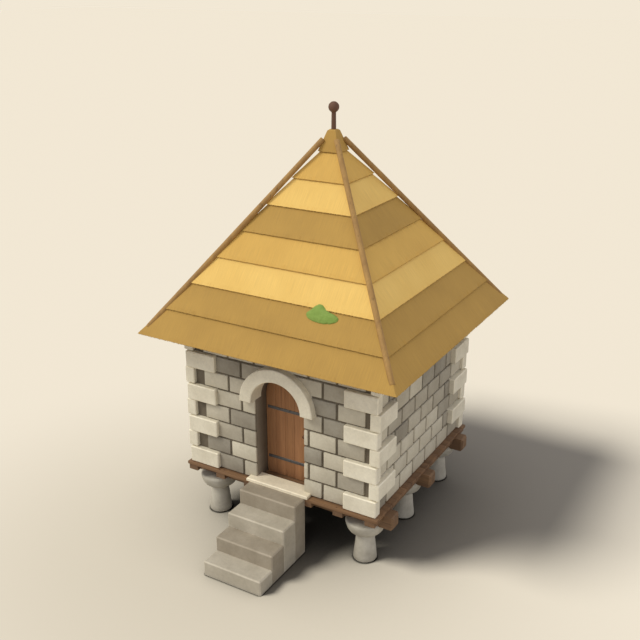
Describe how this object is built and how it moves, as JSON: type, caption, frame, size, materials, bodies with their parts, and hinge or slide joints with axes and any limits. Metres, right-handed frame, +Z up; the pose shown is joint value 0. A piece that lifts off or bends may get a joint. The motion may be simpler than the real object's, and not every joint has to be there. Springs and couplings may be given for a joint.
{
  "type": "raised granary",
  "caption": "Square stone grain store on staddle stones, with an arched plank door, stone steps and a thatched pyramid roof.",
  "frame": {"origin": "on the ground, at the underside of the middle staddle stone, which is the centre of the plan", "axes": "+X to the right as seen from the front, +Y from the door to the back, +Z up"},
  "size_m": [4, 4.726, 6.0791],
  "materials": {
    "staddle_stone": "matt, weathered",
    "wall_stone": "matt, rubble core and mortar",
    "dressed_stone": "matt, dressed",
    "step_stone_light": "matt, dressed",
    "step_stone_dark": "matt, dressed",
    "floor_timber": "sawn, matt",
    "deck_timber": "sawn, matt",
    "door_timber": "matt",
    "roof_timber": "sawn, matt",
    "pole_timber": "peeled, matt",
    "finial_timber": "turned, satin",
    "wrought_iron": "black, matt",
    "thatch_ochre": "straw, matt",
    "thatch_orange": "straw, matt",
    "thatch_yellow": "straw, matt"
  },
  "bodies": {
    "building": {"staddle_bases": "staddle_stone", "staddle_caps": "staddle_stone", "bearer_front": "floor_timber", "bearer_middle": "floor_timber", "bearer_back": "floor_timber", "floor_joists": "floor_timber", "floor_deck": "deck_timber", "front_wall_left": "wall_stone", "front_wall_right": "wall_stone", "front_wall_over_door": "wall_stone", "left_wall": "wall_stone", "right_wall": "wall_stone", "back_wall": "wall_stone", "door_arch": "dressed_stone", "threshold": "dressed_stone", "step_1": "step_stone_light", "step_3": "step_stone_light", "step_2": "step_stone_dark", "step_4": "step_stone_dark", "hinge_pintles": "wrought_iron", "wall_plate": "roof_timber", "apex_post": "roof_timber", "common_rafters": "roof_timber", "hip_rafters": "roof_timber", "thatch_course_1": "thatch_ochre", "thatch_course_2": "thatch_orange", "thatch_course_3": "thatch_yellow", "thatch_course_4": "thatch_ochre", "thatch_course_5": "thatch_orange", "thatch_course_6": "thatch_yellow", "thatch_course_7": "thatch_ochre", "thatch_course_8": "thatch_ochre", "quoins_front_left": "dressed_stone", "hip_pole_front_left": "pole_timber", "quoins_front_right": "dressed_stone", "hip_pole_front_right": "pole_timber", "quoins_back_left": "dressed_stone", "hip_pole_back_left": "pole_timber", "quoins_back_right": "dressed_stone", "hip_pole_back_right": "pole_timber", "finial": "finial_timber"},
    "door": {"door_leaf": "door_timber", "door_bands": "wrought_iron", "door_knob": "wrought_iron", "hinge_straps": "wrought_iron"}
  },
  "joints": [
    {"name": "door_hinge", "type": "hinge", "parent": "building", "child": "door", "pos_m": [-0.4, -1.148, 1.552], "axis": [0, 0, 1], "range_deg": [0, 105]}
  ]
}
